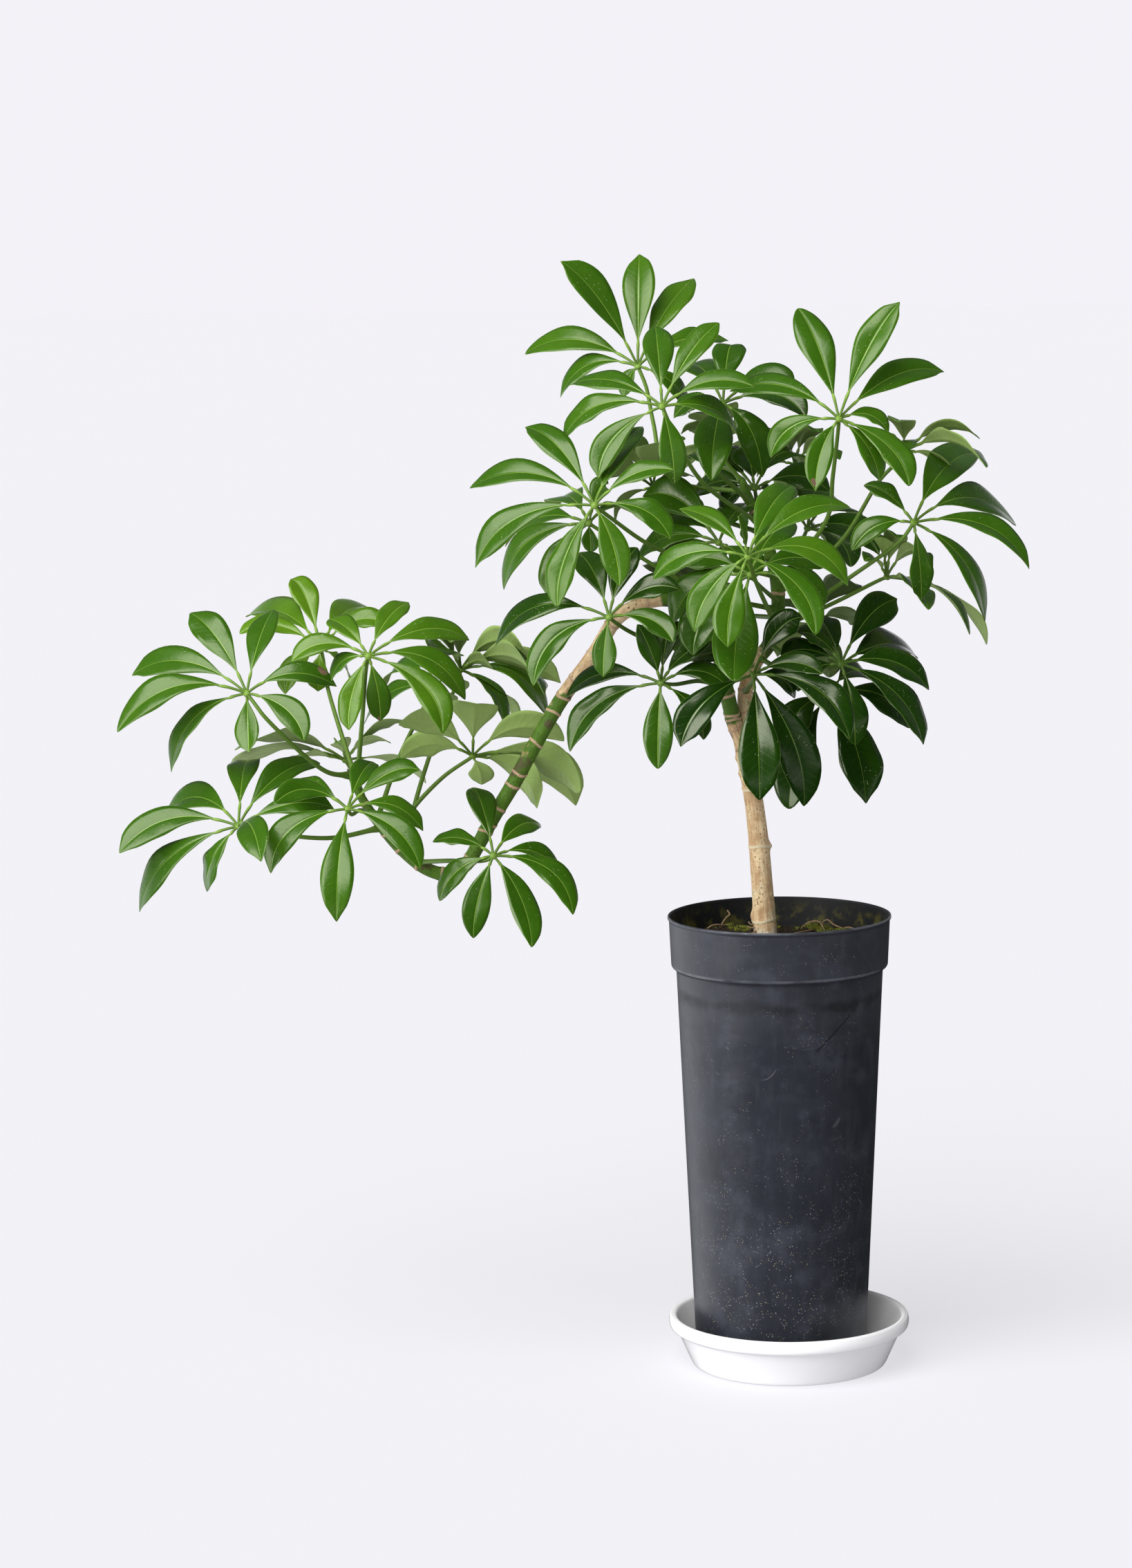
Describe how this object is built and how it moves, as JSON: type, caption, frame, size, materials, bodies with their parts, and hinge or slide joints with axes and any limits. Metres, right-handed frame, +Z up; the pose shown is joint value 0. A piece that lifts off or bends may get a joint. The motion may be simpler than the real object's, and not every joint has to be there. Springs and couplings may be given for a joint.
{
  "type": "potted umbrella plant",
  "caption": "Umbrella plant with a forked woody stem and fronds of glossy leaflets, in a tall black nursery pot standing in a white saucer.",
  "frame": {"origin": "middle of the saucer's flat underside, on the surface that the plant stands on", "axes": "+Z up, -Y towards the plant's front, +X to the right as seen from the front, so the arching branch reaches towards -X"},
  "size_m": [0.7228, 0.3436, 0.8985],
  "materials": {
    "leaf": "waxy, semi-gloss green leaf with a pale midrib",
    "bark": "matt tan bark with small pores, green on the young branch",
    "soil": "dark crumbly potting soil with moss in places",
    "pot_plastic": "black moulded plastic, scuffed and a little dusty",
    "saucer_plastic": "smooth white plastic, glossy"
  },
  "bodies": {
    "root": {"saucer": "saucer_plastic", "pot": "pot_plastic", "soil": "soil", "stem": "bark", "frond_top_left": "leaf", "frond_top_front": "leaf", "frond_left_upper": "leaf", "frond_left_under": "leaf", "frond_low_left": "leaf", "frond_low_front": "leaf", "frond_low_middle": "leaf", "frond_low_right": "leaf", "frond_low_right_under": "leaf", "frond_middle_front": "leaf", "frond_middle_under": "leaf", "frond_right_upper": "leaf", "frond_top_middle": "leaf", "frond_middle_back": "leaf", "frond_right_back": "leaf", "frond_right": "leaf", "frond_right_side": "leaf", "frond_right_low_back": "leaf", "frond_back_left": "leaf", "frond_back_top": "leaf", "frond_back_right": "leaf", "frond_left_inner": "leaf", "frond_back_low": "leaf", "frond_back_low_right": "leaf", "cluster_far_left": "leaf", "cluster_top_back": "leaf", "cluster_top_front": "leaf", "cluster_low_front": "leaf", "cluster_low_left": "leaf", "cluster_low_right": "leaf", "cluster_right_under": "leaf", "cluster_back": "leaf", "cluster_inner_back": "leaf", "cluster_right_back": "leaf"}
  },
  "joints": []
}
